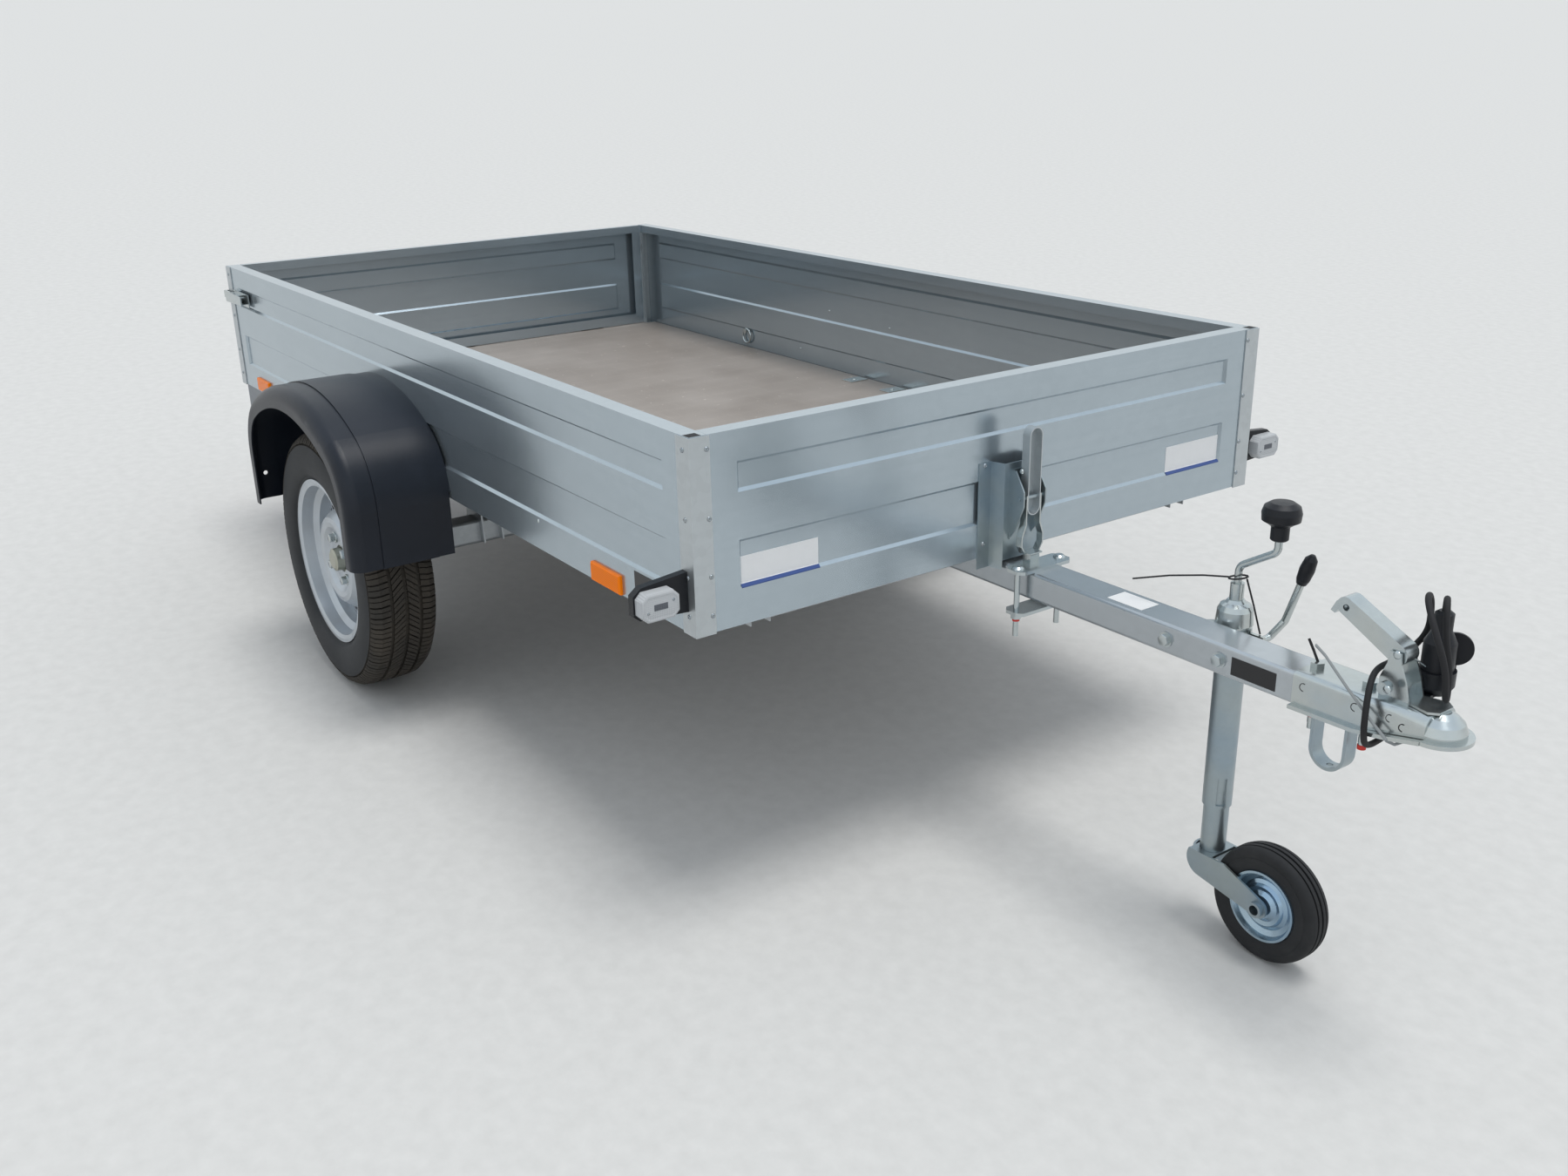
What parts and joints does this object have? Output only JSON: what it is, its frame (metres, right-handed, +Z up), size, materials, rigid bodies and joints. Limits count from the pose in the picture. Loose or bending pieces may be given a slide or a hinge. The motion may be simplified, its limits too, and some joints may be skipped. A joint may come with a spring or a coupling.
{
  "type": "utility trailer",
  "caption": "Single-axle tipping utility trailer: open galvanised tub on a central drawbar, hinged tailgate, black mudguards, ball coupling and jockey wheel.",
  "frame": {"origin": "middle of the trailer's outer box, on the floor it stands on", "axes": "+X forward to the coupling, +Y to the trailer's left, +Z up"},
  "size_m": [3.2534, 1.741, 0.8568],
  "materials": {
    "galvanised": "spangled hot-dip zinc, satin",
    "zinc_plate": "bright zinc plate",
    "wheel_silver": "silver wheel enamel",
    "tyre": "black rubber with brownish dust",
    "rubber": "black rubber",
    "plywood": "brown film-faced plywood",
    "black_plastic": "grained black plastic",
    "clear_lens": "clear lens over white reflector",
    "amber": "amber reflector",
    "red_lens": "red lens"
  },
  "bodies": {
    "chassis": {"drawbar": "galvanised", "tip_pin": "zinc_plate", "axle_beam": "galvanised", "axle_saddle": "galvanised", "axle_stands": "galvanised", "buffers": "rubber", "swing_arms": "galvanised", "catch_plates": "zinc_plate", "catch_bolts": "zinc_plate", "coupling_body": "zinc_plate", "coupling_bolts": "zinc_plate", "coupling_handle": "zinc_plate", "coupling_yoke": "zinc_plate", "park_strap": "zinc_plate", "plug_holder": "black_plastic", "plug": "black_plastic", "cable": "rubber", "jockey_clamp": "zinc_plate", "jockey_tube": "zinc_plate", "jockey_head": "zinc_plate", "crank": "zinc_plate", "crank_knob": "black_plastic", "clamp_lever": "zinc_plate", "lever_grips": "black_plastic"},
    "tub": {"side_walls": "galvanised", "front_wall": "galvanised", "corner_posts": "galvanised", "floor_board": "plywood", "floor_frame": "galvanised", "tip_cheeks": "galvanised", "mudguards": "black_plastic", "lamp_carrier": "galvanised", "rear_lamps": "red_lens", "front_lamps": "clear_lens", "lamp_brackets": "black_plastic", "side_reflectors": "amber", "front_post": "galvanised", "toggle_bracket": "zinc_plate", "toggle_lever": "zinc_plate", "toggle_loop": "zinc_plate", "gate_hinges": "zinc_plate", "side_latches": "zinc_plate", "lashing_rings": "zinc_plate"},
    "tailgate": {"tailgate": "galvanised", "gate_leaves": "zinc_plate"},
    "wheel_left": {"tyre_left": "tyre", "rim_left": "wheel_silver", "hub_left": "zinc_plate"},
    "wheel_right": {"tyre_right": "tyre", "rim_right": "wheel_silver", "hub_right": "zinc_plate"},
    "jockey_leg": {"jockey_leg": "zinc_plate"},
    "jockey_fork": {"jockey_fork": "zinc_plate"},
    "jockey_wheel": {"jockey_tyre": "tyre", "jockey_rim": "zinc_plate"}
  },
  "joints": [
    {"name": "tub_tip", "type": "hinge", "parent": "chassis", "child": "tub", "pos_m": [-0.51392, 0, 0.43957], "axis": [0, -1, 0], "range_deg": [0, 12]},
    {"name": "tailgate_hinge", "type": "hinge", "parent": "tub", "child": "tailgate", "pos_m": [-1.60619, 0, 0.4147], "axis": [0, -1, 0], "range_deg": [0, 170]},
    {"name": "wheel_left_spin", "type": "hinge", "parent": "chassis", "child": "wheel_left", "pos_m": [-0.5054, 0.755, 0.2835], "axis": [0, 1, 0], "continuous": true},
    {"name": "wheel_right_spin", "type": "hinge", "parent": "chassis", "child": "wheel_right", "pos_m": [-0.5054, -0.755, 0.2835], "axis": [0, 1, 0], "continuous": true},
    {"name": "jockey_lift", "type": "slide", "parent": "chassis", "child": "jockey_leg", "axis": [-0.0545, 0, 0.9985], "range_m": [-0.12, 0.08]},
    {"name": "jockey_swivel", "type": "hinge", "parent": "jockey_leg", "child": "jockey_fork", "pos_m": [1.2027, 0.075, 0.12636], "axis": [-0.0545, 0, 0.9985], "continuous": true},
    {"name": "jockey_spin", "type": "hinge", "parent": "jockey_fork", "child": "jockey_wheel", "pos_m": [1.32532, 0.075, 0.1], "axis": [0, 1, 0], "continuous": true}
  ]
}
